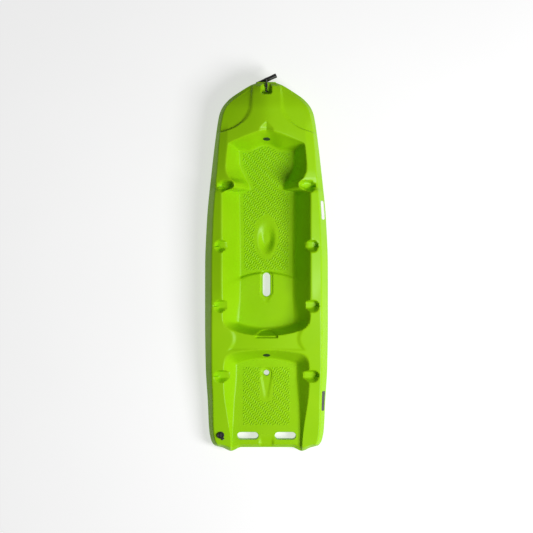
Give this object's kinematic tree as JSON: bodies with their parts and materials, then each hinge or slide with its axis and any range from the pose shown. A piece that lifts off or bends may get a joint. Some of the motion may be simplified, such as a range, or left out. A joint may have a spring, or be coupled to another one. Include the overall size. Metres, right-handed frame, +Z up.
{
  "type": "child's sit-on-top kayak",
  "caption": "Short twin-sheet sit-on-top kayak with an open cockpit, moulded seat, rear well, through drains, stern hand slots, a tow toggle and a screw drain plug.",
  "frame": {"origin": "on the flat of the keel, halfway between the nose and the stern lobes of the shell", "axes": "+Y towards the bow, +X to starboard, +Z up from the surface that the hull rests on"},
  "size_m": [0.611, 1.8764, 0.2238],
  "materials": {
    "shell_green": "satin thermoformed polyethylene, lime green, fine orange-peel",
    "foam_white": "bead foam",
    "plug_dark": "dull moulded plastic, dark green-black",
    "moulded_black": "fine-grained moulded plastic, black",
    "seal_rubber": "soft matte rubber, black",
    "pin_steel": "stainless pin",
    "rope_black": "braided polyester, black",
    "label_film": "thin printed film, blank"
  },
  "bodies": {
    "shell": {"deck_shell": "shell_green", "hull_shell": "shell_green", "bow_foam": "foam_white", "stern_foam": "foam_white", "side_foam_port": "foam_white", "side_foam_starboard": "foam_white", "cockpit_plug": "plug_dark", "well_plug": "plug_dark", "drain_bushing": "moulded_black", "drain_tether": "seal_rubber", "tether_pin": "pin_steel", "toggle_rope": "rope_black", "lower_knot": "rope_black", "upper_knot": "rope_black", "side_badge": "label_film", "caution_label": "label_film"},
    "tether_eye": {"tether_eye": "seal_rubber"},
    "drain_plug": {"drain_plug": "moulded_black", "drain_gasket": "seal_rubber"},
    "rope_drop": {"rope_drop": "rope_black", "toggle_knot": "rope_black"},
    "tow_toggle": {"tow_toggle": "moulded_black"}
  },
  "joints": [
    {"name": "drain_plug_lift", "type": "slide", "parent": "shell", "child": "tether_eye", "axis": [0, 0, 1], "range_m": [0, 0.012]},
    {"name": "drain_plug_turn", "type": "hinge", "parent": "tether_eye", "child": "drain_plug", "pos_m": [-0.228, -0.8315, 0.1], "axis": [0, 0, 1], "range_deg": [0, 1440]},
    {"name": "toggle_swing", "type": "hinge", "parent": "shell", "child": "rope_drop", "pos_m": [0, 0.92, 0.1645], "axis": [1, 0, 0], "range_deg": [0, 120]},
    {"name": "toggle_twist", "type": "hinge", "parent": "rope_drop", "child": "tow_toggle", "pos_m": [0, 0.93, 0.119], "axis": [0, 0, 1], "range_deg": [-55, 5]}
  ],
  "couplings": [
    {"joint": "drain_plug_turn", "follows": "drain_plug_lift", "rad_per_m": 2094.4}
  ]
}
